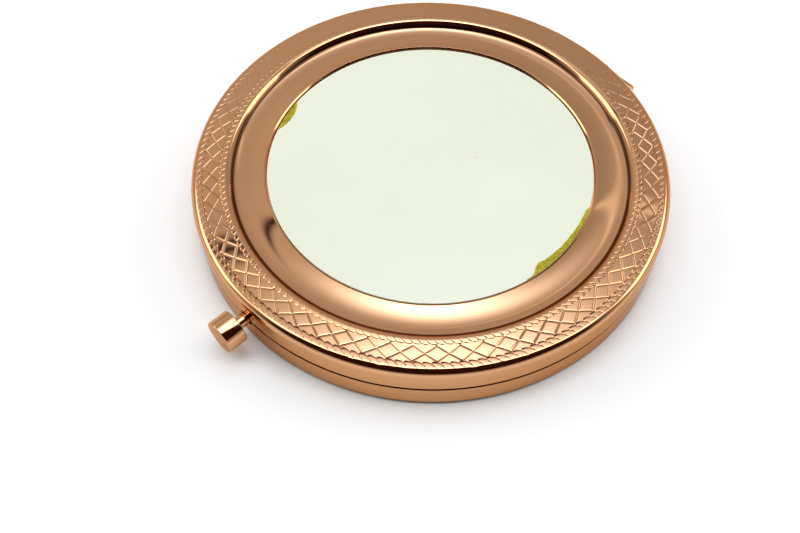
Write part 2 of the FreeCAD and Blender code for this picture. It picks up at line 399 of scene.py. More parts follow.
def maths(operation: str, swapped: bool = False) -> Callable[["Term", "Term | float"], "Term"]:
    """A method of a shader value that adds a Math node.

    Args:
        operation: What the node does.
        swapped: Whether the value is its second operand.

    Returns:
        The method.
    """

    def result(value: "Term", other: "Term | float") -> "Term":
        """Result of the operation on the value and another one."""
        first, second = (other, value) if swapped else (value, other)
        return value.shader.node("ShaderNodeMath", {"operation": operation}, {0: first, 1: second})

    return result


class Term:
    """A value in a shader. Arithmetic on it adds Math nodes."""

    def __init__(self, shader: "Shader", socket: bpy.types.NodeSocket) -> None:
        """Wraps a socket of a shader."""
        self.shader = shader
        self.socket = socket

    __add__ = __radd__ = maths("ADD")
    __sub__ = maths("SUBTRACT")
    __rsub__ = maths("SUBTRACT", swapped=True)
    __mul__ = __rmul__ = maths("MULTIPLY")
    __truediv__ = maths("DIVIDE")
    __pow__ = maths("POWER")
    __rpow__ = maths("POWER", swapped=True)
    at_least = maths("MAXIMUM")
    at_most = maths("MINIMUM")

    def smooth(self, low: float, high: float) -> "Term":
        """A smooth step from 0 at one value to 1 at another.

        Args:
            low: Value at which it leaves 0.
            high: Value at which it reaches 1.

        Returns:
            The step.
        """
        inputs = {"Value": self, "From Min": low, "From Max": high}
        return self.shader.node("ShaderNodeMapRange", {"interpolation_type": "SMOOTHSTEP"}, inputs)


Input = Term | float | Sequence[float]


class Shader:
    """Nodes of one material or of the world."""

    def __init__(self, tree: bpy.types.NodeTree) -> None:
        """Empties a node tree to build in it."""
        self.tree = tree
        tree.nodes.clear()

    def node(
        self,
        kind: str,
        settings: dict[str, object] | None = None,
        inputs: dict[int | str, Input] | None = None,
        output: int | str = 0,
    ) -> Term | None:
        """Adds a node.

        Args:
            kind: Its type.
            settings: Its settings, which are set first.
            inputs: Values or links of its sockets.
            output: Which of its outputs to hand back.

        Returns:
            That output, or nothing where the node has none.
        """
        made = self.tree.nodes.new(kind)
        for name, value in (settings or {}).items():
            setattr(made, name, value)
        for key, value in (inputs or {}).items():
            socket = made.inputs[key]
            if isinstance(value, Term):
                self.tree.links.new(value.socket, socket)
            elif socket.type == "RGBA":
                socket.default_value = (*value, 1.0)
            else:
                socket.default_value = value
        return Term(self, made.outputs[output]) if made.outputs else None

    def split(self, vector: Term) -> tuple[Term, Term, Term]:
        """Parts of a vector.

        Args:
            vector: The vector.

        Returns:
            Its three parts.
        """
        parts = self.node("ShaderNodeSeparateXYZ", {}, {0: vector})
        outputs = parts.socket.node.outputs
        return Term(self, outputs[0]), Term(self, outputs[1]), Term(self, outputs[2])

    def mix(self, share: Input, first: Input, second: Input) -> Term:
        """Mix of two colours.

        Args:
            share: Share of the second.
            first: First colour.
            second: Second colour.

        Returns:
            The mixed colour.
        """
        return self.node("ShaderNodeMix", {"data_type": "RGBA"}, {0: share, 6: first, 7: second}, 2)

    def place(self, scale: tuple[float, float, float] = (1.0, 1.0, 1.0)) -> Term:
        """Place on the object in metres, stretched along its axes.

        Args:
            scale: Stretch along each axis.

        Returns:
            The vector.
        """
        here = self.node("ShaderNodeTexCoord", {}, {}, "Object")
        return self.node("ShaderNodeVectorMath", {"operation": "MULTIPLY"}, {0: here, 1: scale})

    def noise(self, place: Term, size: float, detail: float) -> Term:
        """Soft noise.

        Args:
            place: Where it is read.
            size: Size of its patches in millimetres.
            detail: How many finer layers it has.

        Returns:
            A value of about 0.2 to 0.8.
        """
        inputs = {"Vector": place, "Scale": 1 / (size * MM), "Detail": detail}
        return self.node("ShaderNodeTexNoise", {}, inputs)

    def engraving(self) -> Term:
        """Share that the mesh carries at each point: engraving, painted shade at the crease and foot, and the
        thinness of glue.
        """
        return self.node("ShaderNodeAttribute", {"attribute_name": ENGRAVING}, {}, "Fac")

    def bump(self, height: Term, rise: float, strength: float) -> Term:
        """Normal of a fine relief.

        Args:
            height: Relief from 0 to 1.
            rise: Its height in millimetres.
            strength: Its share.

        Returns:
            The normal.
        """
        inputs = {"Height": height, "Distance": rise * MM, "Strength": strength}
        return self.node("ShaderNodeBump", {}, inputs)


@dataclass(frozen=True)
class Finish:
    """A finish of the record, made once as a material."""

    name: str
    slot: Slot

    def material(self) -> bpy.types.Material:
        """The finish as a material.

        Returns:
            The material, which is made at the first call.
        """
        known = bpy.data.materials.get(self.name)
        if known:
            return known
        material = bpy.data.materials.new(self.name)
        material.use_nodes = True
        shader = Shader(material.node_tree)
        shader.node("ShaderNodeOutputMaterial", {}, {"Surface": self.surface(shader)})
        return material

    def surface(self, shader: Shader) -> Term:
        """The nodes of the surface.

        Args:
            shader: Where they are added.

        Returns:
            The surface.
        """
        raise NotImplementedError


@dataclass(frozen=True)
class Plating(Finish):
    """Polished or satin plated metal, worn a little by handling, with painted shade in its engraved grooves,
    in creases and at the foot.
    """

    colour: Colour
    deep: Colour
    painted_shade: Colour
    roughness: float
    handling: float
    grain: float = 0.35
    relief: float = 0.0006
    cloud: float = 11.0
    hairline: float = 2.2
    hairline_share: float = 0.6
    groove_shade: float = 0.55
    groove_rough: float = 0.04
    edge_tint: Colour = (0.82, 0.62, 0.47)

    def surface(self, shader: Shader) -> Term:
        """The nodes of the surface.

        Args:
            shader: Where they are added.

        Returns:
            The surface.
        """
        place = shader.place()
        cloud = shader.noise(place, self.cloud, 3.0)
        grain = shader.noise(place, self.grain, 2.0)
        hairlines = shader.noise(shader.place((1.0, 9.0, 9.0)), self.hairline, 4.0).smooth(0.62, 0.7)
        groove = shader.engraving()
        tone = shader.mix(cloud.smooth(0.35, 0.68), self.colour, self.deep)
        # Painted shade: grooves, the crease under the step and the base's foot are darkened by the mesh's
        # share.
        tone = shader.mix(groove**2.0 * self.groove_shade, tone, self.painted_shade)
        roughness = self.roughness + cloud.smooth(0.48, 0.72) * self.handling
        roughness = roughness + hairlines * (self.hairline_share * self.handling) + groove * self.groove_rough
        return shader.node("ShaderNodeBsdfPrincipled", {}, {
            "Base Color": tone,
            "Metallic": 1.0,
            "Roughness": roughness,
            "Specular Tint": self.edge_tint,
            "Normal": shader.bump(grain, self.relief, 0.5),
        })


@dataclass(frozen=True)
class SilveredGlass(Finish):
    """Silvered float glass with faint wipe marks."""

    colour: Colour
    tint: Colour

    def surface(self, shader: Shader) -> Term:
        """The nodes of the surface.

        Args:
            shader: Where they are added.

        Returns:
            The surface.
        """
        wipes = shader.noise(shader.place((1.0, 0.35, 1.0)), 7.0, 5.0)
        dust = shader.noise(shader.place(), 0.45, 1.0).smooth(0.74, 0.78)
        return shader.node("ShaderNodeBsdfPrincipled", {}, {
            "Base Color": shader.mix(wipes.smooth(0.3, 0.7), self.colour, self.tint),
            "Metallic": 1.0,
            "Roughness": 0.012 + wipes.smooth(0.5, 0.75) * 0.02 + dust * 0.12,
            "Coat Weight": 0.6,
            "Coat Roughness": 0.01,
        })


@dataclass(frozen=True)
class GlossCoat(Finish):
    """Gloss coating with a faint unevenness and a few specks."""

    colour: Colour
    shade: Colour
    speck: Colour

    def surface(self, shader: Shader) -> Term:
        """The nodes of the surface.

        Args:
            shader: Where they are added.

        Returns:
            The surface.
        """
        place = shader.place()
        cloud = shader.noise(place, 16.0, 2.0)
        specks = shader.noise(place, 0.55, 1.0).smooth(0.81, 0.83)
        tone = shader.mix(cloud.smooth(0.35, 0.65), self.colour, self.shade)
        return shader.node("ShaderNodeBsdfPrincipled", {}, {
            "Base Color": shader.mix(specks * 0.7, tone, self.speck),
            "Roughness": 0.16 + cloud.smooth(0.4, 0.7) * 0.06,
            "Normal": shader.bump(shader.noise(place, 1.4, 2.0), 0.002, 0.3),
            "Coat Weight": 0.25,
            "Coat Roughness": 0.06,
        })


@dataclass(frozen=True)
class SetGlue(Finish):
    """Set yellow glue, thinner and greener where it is drawn out."""

    colour: Colour
    thin: Colour

    def surface(self, shader: Shader) -> Term:
        """The nodes of the surface.

        Args:
            shader: Where they are added.

        Returns:
            The surface.
        """
        place = shader.place()
        streaks = shader.noise(place, 1.1, 4.0)
        thin = shader.engraving()
        grain = shader.noise(place, 0.22, 2.0)
        spread = streaks.smooth(0.35, 0.7) * 0.2 + grain.smooth(0.4, 0.6) * 0.6 + thin * 0.5
        tone = shader.mix(spread.at_most(1.0), self.colour, self.thin)
        return shader.node("ShaderNodeBsdfPrincipled", {}, {
            "Base Color": tone,
            "Roughness": 0.4 + streaks.smooth(0.4, 0.7) * 0.15,
            "Specular IOR Level": 0.15,
            "Normal": shader.bump(shader.noise(place, 0.35, 3.0), 0.04, 0.6),
            "Coat Weight": 0.05,
            "Coat Roughness": 0.15,
        })


@dataclass(frozen=True)
class Foam(Finish):
    """Closed-cell foam tape."""

    colour: Colour
    cell: Colour
    cell_size: float = 0.22

    def surface(self, shader: Shader) -> Term:
        """The nodes of the surface.

        Args:
            shader: Where they are added.

        Returns:
            The surface.
        """
        place = shader.place()
        inputs = {"Vector": place, "Scale": 1 / (self.cell_size * MM)}
        cells = shader.node("ShaderNodeTexVoronoi", {}, inputs, "Distance")
        cloud = shader.noise(place, 5.0, 3.0)
        tone = shader.mix(cells.smooth(0.25, 0.6), self.cell, self.colour)
        return shader.node("ShaderNodeBsdfPrincipled", {}, {
            "Base Color": shader.mix(cloud.smooth(0.4, 0.7) * 0.4, tone, self.cell),
            "Roughness": 0.82 + cloud * 0.15,
            "Normal": shader.bump(cells, 0.03, 0.6),
        })


@dataclass(frozen=True)
class DrawnSteel(Finish):
    """Bright steel with the fine lines of drawing and bending."""

    colour: Colour
    dull: Colour

    def surface(self, shader: Shader) -> Term:
        """The nodes of the surface.

        Args:
            shader: Where they are added.

        Returns:
            The surface.
        """
        lines = shader.noise(shader.place((0.08, 1.0, 1.0)), 0.12, 3.0)
        cloud = shader.noise(shader.place(), 2.5, 3.0)
        return shader.node("ShaderNodeBsdfPrincipled", {}, {
            "Base Color": shader.mix(cloud.smooth(0.4, 0.7), self.colour, self.dull),
            "Metallic": 1.0,
            "Roughness": 0.2 + lines.smooth(0.3, 0.7) * 0.14,
            "Normal": shader.bump(lines, 0.004, 0.4),
        })


ROSE_GOLD = Plating(
    "polished_rose_gold", Slot.ROSE_GOLD, colour=(0.67, 0.357, 0.186), deep=(0.65, 0.342, 0.175),
    painted_shade=(0.12, 0.05, 0.022), roughness=0.045, handling=0.03,
)
PLATED_PLASTIC = Plating(
    "satin_rose_gold", Slot.PLATED_PLASTIC, colour=(0.70, 0.39, 0.23), deep=(0.66, 0.365, 0.21),
    painted_shade=(0.4, 0.2, 0.1), roughness=0.2, handling=0.08, grain=0.18, relief=0.002,
)
MIRROR_GLASS = SilveredGlass("silvered_glass", Slot.MIRROR, (0.90, 0.92, 0.92), (0.87, 0.90, 0.895))
COATED_WHITE = GlossCoat(
    "gloss_off_white", Slot.WHITE, colour=(0.81, 0.845, 0.70), shade=(0.79, 0.825, 0.68),
    speck=(0.2, 0.18, 0.15),
)
SET_GLUE = SetGlue("set_yellow_glue", Slot.GLUE, (0.25, 0.19, 0.002), (0.56, 0.49, 0.025))
FOAM_TAPE = Foam("foam_tape", Slot.FOAM, (0.84, 0.84, 0.82), (0.68, 0.68, 0.66))
DRAWN_STEEL = DrawnSteel("drawn_steel", Slot.STEEL, (0.72, 0.72, 0.73), (0.58, 0.58, 0.59))


class Assembly:
    """Pieces that belong together and ride on one body of the frame."""

    body: Body

    def settle(self, piece: bpy.types.Object, finish: Finish, *nodes: str) -> bpy.types.Object:
        """Dresses a modelled piece and puts it on the body in place of nodes of the frame.

        Args:
            piece: The piece.
            finish: Its finish.
            nodes: Nodes that it stands for.

        Returns:
            The piece.
        """
        piece.data.materials.append(finish.material())
        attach(piece, self.body.value)
        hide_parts(*nodes)
        log.info("%s: %d faces, for %s on %s", piece.name, len(piece.data.polygons), nodes, self.body.value)
        return piece

    def carry(self, finish: Finish, *nodes: str) -> None:
        """Dresses nodes of the frame whose shapes stay.

        Args:
            finish: Their finish.
            nodes: Their names.
        """
        for node in nodes:
            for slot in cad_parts[node].material_slots:
                slot.material = finish.material()
            log.info("%s: kept from the frame in %s", node, finish.name)


@dataclass(frozen=True)
class Notch:
    """An opening in the edge of a wall, as heights of the edge at places across the case."""

    side: Side
    stations: tuple[tuple[float, float], ...]

    @classmethod
    def round(cls, side: Side, radius: float, middle: float, facing: int) -> "Notch":
        """A half round opening.

        Args:
            side: Side of the case.
            radius: Radius of the opening.
            middle: Height of its middle.
            facing: 1 where it rises from the edge and -1 where it sinks.

        Returns:
            The notch.
        """
        steps = 20
        turns = [math.pi * (k / steps - 0.5) for k in range(steps + 1)]
        return cls(side, tuple((radius * math.sin(t), middle + facing * radius * math.cos(t)) for t in turns))

    @classmethod
    def square(cls, side: Side, span: tuple[float, float], height: float, edge: float) -> "Notch":
        """An opening with upright sides.

        Args:
            side: Side of the case.
            span: Where it starts and ends across the case.
            height: Height of its bottom.
            edge: Height of the edge beside it.

        Returns:
            The notch.
        """
        draft, steps = 0.02, 12
        floor = [(span[0] + (span[1] - span[0]) * k / steps, height) for k in range(steps + 1)]
        return cls(side, ((span[0] - draft, edge), *floor, (span[1] + draft, edge)))


@dataclass(frozen=True)
class Wall:
    """Upright wall of a shell, whose edge has notches."""

    radius: float
    inner_radius: float
    edge: float
    facing: int
    bevel: float
    clear: float
    notches: tuple[Notch, ...]
    count: int = 300
    margin: float = math.radians(1.3)

    def row(self, skin: Skin, radius: float, level: float) -> Row:
        """Adds a row along the wall that steps back from its notches.

        Args:
            skin: Where it is added.
            radius: Radius of the row.
            level: Its height between the notches.

        Returns:
            The row.
        """
        spans = [
            [notch.side.angle(notch.stations[k][0], self.radius) for k in (0, -1)] for notch in self.notches
        ]
        places = []
        for k in range(self.count):
            angle = TURN * k / self.count - math.pi
            if not any(min(span) - self.margin < angle < max(span) + self.margin for span in spans):
                places.append((angle, radius, level, 0.0))
        for notch in self.notches:
            for across, height in notch.stations:
                reach = self.facing * max(self.facing * level, self.facing * height)
                places.append((notch.side.angle(across, radius), radius, reach, 0.0))
        return skin.row(sorted(places))

    def build(self, skin: Skin) -> tuple[Row, Row]:
        """Adds the wall around its edge.

        Args:
            skin: Where it is added.

        Returns:
            The last rows inside and outside, level with each other.
        """
        inside = self.row(skin, self.inner_radius, self.clear)
        here = skin.bridge(inside, self.row(skin, self.inner_radius, self.edge))
        here = skin.bridge(here, self.row(skin, self.radius - self.bevel, self.edge))
        here = skin.bridge(here, self.row(skin, self.radius, self.edge + self.facing * self.bevel))
        return inside, skin.bridge(here, self.row(skin, self.radius, self.clear))


def wear(angle: float) -> float:
    """Share of the engraving's depth that rubbing has left, least beside the hinge.

    Args:
        angle: Angle about the case from +X, in radians.

    Returns:
        The share.
    """
    rubbed, least, span, fade = math.radians(136.9), 0.15, 0.1, 0.4
    off = 0.5 - 0.5 * math.cos(angle - rubbed)
    share = min(1.0, max(0.0, (off - span) / fade))
    return least + (1 - least) * share * share * (3 - 2 * share)


@dataclass(frozen=True)
class Lattice:
    """Engraved band of crossing lines, with one full diamond per step around the rim."""

    count: int = 65
    phase: float = math.radians(319.87)
    outer: float = 33.10
    inner: float = 30.88
    half_width: float = 0.14
    depth: float = 0.047
    pillow: float = 0.006
    inner_shares: tuple[float, ...] = (0.15, 0.3, 0.5, 0.7, 0.85)

    def flank(self) -> float:
        """Share of a diamond's width that one flank of an engraved line takes."""
        step = TURN / self.count / 2 * (self.outer + self.inner) / 2
        half = (self.outer - self.inner) / 2
        return self.half_width * math.hypot(step, half) / (2 * step * half)

    def shares(self) -> list[float]:
        """Places of the mesh lines across a diamond, from one engraved line to the next."""
        flank = self.flank()
        return [0.0, flank / 2, flank, *self.inner_shares, 1 - flank, 1 - flank / 2, 1.0]

    def place(self, surface: Height, cell: Cell, shares: Spot) -> tuple[float, ...]:
        """Place of a point of the lattice.

        Args:
            surface: Height of the rim at a radius.
            cell: Numbers of the engraved lines that bound the cell, one of each direction.
            shares: Place in the cell across both directions.

        Returns:
            Angle, radius, height and share of engraving.
        """
        across, along = shares
        first, second = cell[0] + across, cell[1] + along
        middle, half = (self.outer + self.inner) / 2, (self.outer - self.inner) / 2
        angle = self.phase + TURN / self.count * (first + second) / 2
        radius = middle + half * (first - second)
        groove = max(0.0, 1 - min(across, along, 1 - across, 1 - along) / self.flank())
        swell = 16 * across * (1 - across) * along * (1 - along)
        left = wear(angle)
        sunk = self.depth * groove + self.pillow * (1 - swell)
        return angle, radius, surface(radius) - sunk * left, groove * left

    def build(self, skin: Skin, surface: Height) -> tuple[Row, Row]:
        """Adds the lattice.

        Args:
            skin: Where it is added.
            surface: Height of the rim at a radius.

        Returns:
            Its outer and inner border rows.
        """
        for k in range(self.count):
            self.diamond(skin, surface, (k, k), 0)
            self.diamond(skin, surface, (k, k - 1), 1)
            self.diamond(skin, surface, (k, k + 1), -1)
        return self.border(skin, surface, 1), self.border(skin, surface, -1)

    def diamond(self, skin: Skin, surface: Height, cell: Cell, kept: int) -> None:
        """Adds one diamond, or the half of one that lies in the band.

        Args:
            skin: Where it is added.
            surface: Height of the rim at a radius.
            cell: Numbers of the engraved lines that bound it.
            kept: 0 for a whole diamond, 1 or -1 for its inner or outer half.
        """
        shares = self.shares()
        last = len(shares) - 1
        grid = {}
        for i, across in enumerate(shares):
            for j, along in enumerate(shares):
                angle, radius, height, cut = self.place(surface, cell, (across, along))
                grid[i, j] = skin.add(skin.placement.point(radius, angle, height), cut)
        for i in range(last):
            for j in range(last):
                a, b, c, d = grid[i, j], grid[i + 1, j], grid[i + 1, j + 1], grid[i, j + 1]
                if kept == 0 or (j - i) * kept > 0:
                    skin.faces.append((a, b, c, d))
                elif i == j:
                    skin.faces.append((a, c, d) if kept > 0 else (a, b, c))

    def border(self, skin: Skin, surface: Height, step: int) -> Row:
        """Adds a border row.

        Args:
            skin: Where it is added.
            surface: Height of the rim at a radius.
            step: 1 for the outer border and -1 for the inner one.

        Returns:
            The row.
        """
        places = []
        for k in range(self.count):
            for share in self.shares()[:-1]:
                places.append(self.place(surface, (k, k - step), (share, share)))
        return skin.row(places)


@dataclass(frozen=True)
class Rope:
    """Engraved border of slanting strands, each drawn with a line that ends in a round beside the lattice."""

    tip: float
    tail: float
    slant: float
    tilt_drop: float
    inner_flank: float
    count: int = 178
    drawn_back: float = 0.28
    tail_fade: float = 0.7
    half_width: float = 0.11
    depth: float = 0.040
    across_shares: tuple[float, ...] = (0.0, 0.04, 0.08, 0.18, 0.32, 0.5, 0.68, 0.82, 0.92, 0.96)
    round_steps: tuple[float, ...] = (-1.0, -0.5, 0.0, 0.5, 1.0)
    body_shares: tuple[float, ...] = (0.2, 0.4, 0.6, 0.8, 1.0)

    def row(self, skin: Skin, surface: Height, step: float, body: float) -> Row:
        """Adds a row across all strands.

        Args:
            skin: Where it is added.
            surface: Height of the rim at a radius.
            step: Place across the line round the strand's end, from -1 outside it to 1 inside.
            body: Place from the inner side of that line, 0, to the tails, 1.

        Returns:
            The row.
        """
        way = 1 if self.tail > self.tip else -1
        pitch = TURN / self.count
        places = []
        for k in range(self.count):
            for across in self.across_shares:
                bow = 1 - math.sqrt(max(0.0, 1 - (2 * across - 1) ** 2))
                start = self.tip + way * (self.drawn_back * bow + self.half_width * step)
                radius = start + (self.tail - start) * body
                inside = min(1.0, 1 + step)
                side_line = max(0.0, 1 - min(across, 1 - across) / self.across_shares[2])
                side_line *= max(0.0, step)
                round_line = 1 - abs(step)
                kept = 1 - self.tail_fade * body
                line = max(round_line, side_line) * kept
                flank = self.inner_flank if step > 0 else 1.0
                sunk = self.depth * max(round_line * flank, side_line * kept)
                sunk += self.tilt_drop * inside * (1 - body)
                turn = math.radians(self.slant) * (radius - self.tip) / (self.tail - self.tip)
                angle = pitch * (k + across) + turn
                left = wear(angle)
                places.append((angle, radius, surface(radius) - sunk * left, line * left))
        return skin.row(places)

    def build(self, skin: Skin, surface: Height) -> tuple[Row, Row]:
        """Adds the rope.

        Args:
            skin: Where it is added.
            surface: Height of the rim at a radius.

        Returns:
            Its border rows at the rounded ends and at the tails.
        """
        rows = [self.row(skin, surface, step, 0.0) for step in self.round_steps]
        rows += [self.row(skin, surface, 1.0, body) for body in self.body_shares]
        for first, second in zip(rows, rows[1:]):
            skin.bridge(first, second)
        return rows[0], rows[-1]


@dataclass
class Lid(Assembly):
    """Lid with its rolled edge, engraved rim, step, dished ring and pale insert."""

    body: Body = Body.LID
    wall: float = 1.0
    sheet: float = 0.6
    seam_bevel: float = 0.15
    edge_round: float = 1.2
    rim_width: float = 3.74
    rim_crown: float = 0.24
    cone_share: float = 0.85
    shoulder_round: float = 1.0
    step_drop: float = 1.04
    step_lean: float = 50.0
    root_round: float = 1.4
    crease_lean: float = 33.0
    crease_round: float = 0.2
    # Reach and depth of the painted shade in the crease under the step.
    crease_shade_reach: float = 0.32
    crease_shade_depth: float = 2.4
    ring_width: float = 4.02
    ring_sag: float = 0.207
    lip_chamfer: float = 0.2
    lip_round: float = 0.05
    lip_rise: float = 0.2
    step_backing: float = 0.2
    plate_round: float = 0.12
    plate_chamfer: float = 0.05
    plate_count: int = 240
    root_overlap: float = 2.0
    dish_step: float = 1.7
    dish_margin: float = 0.5
    sharp: float = 22.0
    stem_clearance: float = 0.3
    rope_margin: float = 0.02
    web_half: float = 4.15
    web_top: float = 5.22
    wall_clear: float = 5.7
    lattice: Lattice = Lattice()
    outer_rope: Rope = Rope(tip=33.27, tail=34.10, slant=1.5, tilt_drop=0.04, inner_flank=0.5)
    inner_rope: Rope = Rope(tip=30.72, tail=29.86, slant=-1.1, tilt_drop=0.02, inner_flank=1.0)
    count: int = 300

    def __post_init__(self) -> None:
        """Reads the places that the frame gives, and works out the roll and the shoulder."""
        low, high = extent("lid_shell")
        plate_low, plate_high = extent("insert_plate")
        stem = extent("button_stem")[1].x
        self.radius: float = high.x
        self.bottom: float = low.z
        self.crown_top: float = high.z
        self.plate_top: float = plate_high.z
        self.plate_under: float = plate_low.z
        self.plate_radius: float = plate_high.x
        self.recess_floor: float = extent("insert_adhesive")[0].z
        self.ceiling: float = extent("lid_mirror_pad")[1].z
        self.stem_hole: float = stem + self.stem_clearance
        self.seam: float = (extent("base_shell")[1].z + self.bottom) / 2
        self.rim_edge: float = self.crown_top - self.rim_crown
        fall = math.atan(self.rim_crown * (2 - self.cone_share) / self.rim_width)
        self.roll: Spot = (self.radius - self.edge_round, self.rim_edge - self.edge_round * math.cos(fall))
        self.shoulder: float = self.roll[0] + self.edge_round * math.sin(fall) - self.rim_width

    def rim(self, radius: float) -> float:
        """Height of the crowned rim, its shoulder and its roll, before it is engraved.

        Args:
            radius: Distance from the middle of the lid.

        Returns:
            The height.
        """
        out = (radius - self.shoulder) / self.rim_width
        if out < 0:
            inwards = self.shoulder - radius
            return self.crown_top - self.shoulder_round + math.sqrt(self.shoulder_round**2 - inwards**2)
        if out > 1:
            return self.roll[1] + math.sqrt(self.edge_round**2 - (radius - self.roll[0]) ** 2)
        return self.crown_top - self.rim_crown * (self.cone_share * out + (1 - self.cone_share) * out**2)

    def face(self) -> tuple[Outline, float]:
        """Outline from the tails of the inner rope over the step, ring and lip into the recess.

        Returns:
            The outline, which ends at the foot of the recess, and the radius of the crease under the step.
        """
        lean = math.radians(self.step_lean)
        crease = math.radians(self.crease_lean)
        lip_top = self.plate_top + self.lip_rise
        ring_height = self.crown_top - self.step_drop
        rise = lip_top - ring_height
        chord = math.hypot(self.ring_width, rise)
        sweep = chord**2 / (8 * self.ring_sag) + self.ring_sag / 2
        half = math.asin(chord / 2 / sweep)
        tilt = math.atan2(rise, self.ring_width)
        root_tilt = half - tilt
        head_run = self.shoulder_round * math.sin(lean)
        head_drop = self.shoulder_round * (1 - math.cos(lean))
        foot_run = self.root_round * (math.sin(crease) - math.sin(root_tilt))
        foot_drop = self.root_round * (math.cos(root_tilt) - math.cos(crease))
        step_run = (self.step_drop - head_drop - foot_drop) / math.tan(lean)
        ring_outer = (self.shoulder - head_run - step_run - foot_run, ring_height)
        turn = math.degrees(root_tilt)
        root = polar(ring_outer, self.root_round, 90 + turn)
        dish = polar(ring_outer, sweep, 90 + turn)
        tail = self.inner_rope.tail
        reach = math.degrees(math.asin((self.shoulder - tail) / self.shoulder_round))
        crest = (self.shoulder, self.crown_top - self.shoulder_round)
        outline = Outline((tail, self.rim(tail)))
        outline.arc(crest, self.shoulder_round, 90 + reach, 90 + self.step_lean)
        step_foot = (ring_outer[0] + foot_run, ring_height + foot_drop)
        below = (step_foot[0] - math.cos(crease), step_foot[1] - math.sin(crease))
        outline.corner(step_foot, below, self.crease_round)
        outline.arc(root, self.root_round, self.crease_lean - 90 - self.root_overlap, turn - 90)
        inner = turn - 90 - 2 * math.degrees(half)
        outline.arc(dish, sweep, turn - 90, inner + self.dish_margin, self.dish_step)
        lip = polar(dish, sweep, inner)
        brink = (lip[0] - self.lip_chamfer, lip_top - self.lip_chamfer)
        outline.corner(lip, brink, self.lip_round)
        return outline.to(brink, (brink[0], self.recess_floor)), step_foot[0]

    def crease_shade(self, radius: float, crease: float) -> float:
        """Painted shade in the crease under the step.

        Args:
            radius: Radius of a spot of the face.
            crease: Radius of the crease.

        Returns:
            Its depth, most in the crease and none beyond its reach.
        """
        return self.crease_shade_depth * max(0.0, 1 - abs(radius - crease) / self.crease_shade_reach)

    def shell(self) -> bpy.types.Object:
        """The lid's shell with its engraving.

        Returns:
            The piece.
        """
        skin = Skin()
        notches = (
            Notch.round(Side.FRONT, self.stem_hole, self.seam, 1),
            Notch.square(Side.REAR, (-self.web_half, self.web_half), self.web_top, self.bottom),
        )
        inner_radius = self.radius - self.wall
        wall = Wall(self.radius, inner_radius, self.bottom, 1, self.seam_bevel, self.wall_clear, notches)
        inside, here = wall.build(skin)
        brink = math.acos((self.outer_rope.tail + self.rope_margin - self.roll[0]) / self.edge_round)
        rolled = Outline((self.radius, self.roll[1]))
        for spot in rolled.arc(self.roll, self.edge_round, 0, math.degrees(brink)).spots:
            here = skin.bridge(here, skin.ring(spot, self.count))
        outer_tips, outer_tails = self.outer_rope.build(skin, self.rim)
        inner_tips, inner_tails = self.inner_rope.build(skin, self.rim)
        lattice_outer, lattice_inner = self.lattice.build(skin, self.rim)
        skin.bridge(here, outer_tails)
        skin.bridge(outer_tips, lattice_outer)
        skin.bridge(lattice_inner, inner_tips)
        here = inner_tails
        outline, crease = self.face()
        for spot in outline.spots:
            # The crease under the step carries painted shade in the mesh's share.
            here = skin.bridge(here, skin.ring(spot, self.count, self.crease_shade(spot[0], crease)))
        skin.cap(here, Vector((0, 0, self.recess_floor)))
        self.lining(skin, inside, outline)
        return skin.made("lid_shell_engraved", self.sharp)

    def lining(self, skin: Skin, inside: Row, outline: Outline) -> None:
        """Adds the inside of the shell.

        Args:
            skin: Where it is added.
            inside: Row inside the wall that the lining starts from.
            outline: Outline of the face.
        """
        recess = outline.spots[-1][0]
        beyond = recess + 2 * self.lip_chamfer
        ring_under = min(height for radius, height in outline.spots if radius > beyond) - self.sheet
        hollow = self.shoulder + self.step_backing
        rim_under = self.rim_edge - self.sheet
        pocket = recess + self.sheet
        here = inside
        for spot in (
            (self.radius - self.wall, rim_under), (hollow, rim_under), (hollow, ring_under),
            (pocket, ring_under), (pocket, self.ceiling),
        ):
            here = skin.bridge(here, skin.ring(spot, self.count))
        skin.cap(here, Vector((0, 0, self.ceiling)))

    def plate(self) -> bpy.types.Object:
        """The pale insert with its softened edge.

        Returns:
            The piece.
        """
        skin = Skin()
        edge = (self.plate_radius, self.plate_top)
        outline = Outline((0, self.plate_under))
        outline.to((self.plate_radius - self.plate_chamfer, self.plate_under))
        outline.to((self.plate_radius, self.plate_under + self.plate_chamfer))
        outline.corner(edge, (0, self.plate_top), self.plate_round).to((0, self.plate_top))
        skin.turn(outline, self.plate_count)
        return skin.made("insert_plate_coated")

    def build(self) -> None:
        """Builds and dresses the lid."""
        self.settle(self.shell(), ROSE_GOLD, "lid_shell")
        self.settle(self.plate(), COATED_WHITE, "insert_plate")
        self.carry(SET_GLUE, "insert_adhesive")
        self.carry(PLATED_PLASTIC, "lid_bezel")
        self.carry(MIRROR_GLASS, "lid_mirror")
        self.carry(DRAWN_STEEL, "lid_catch")


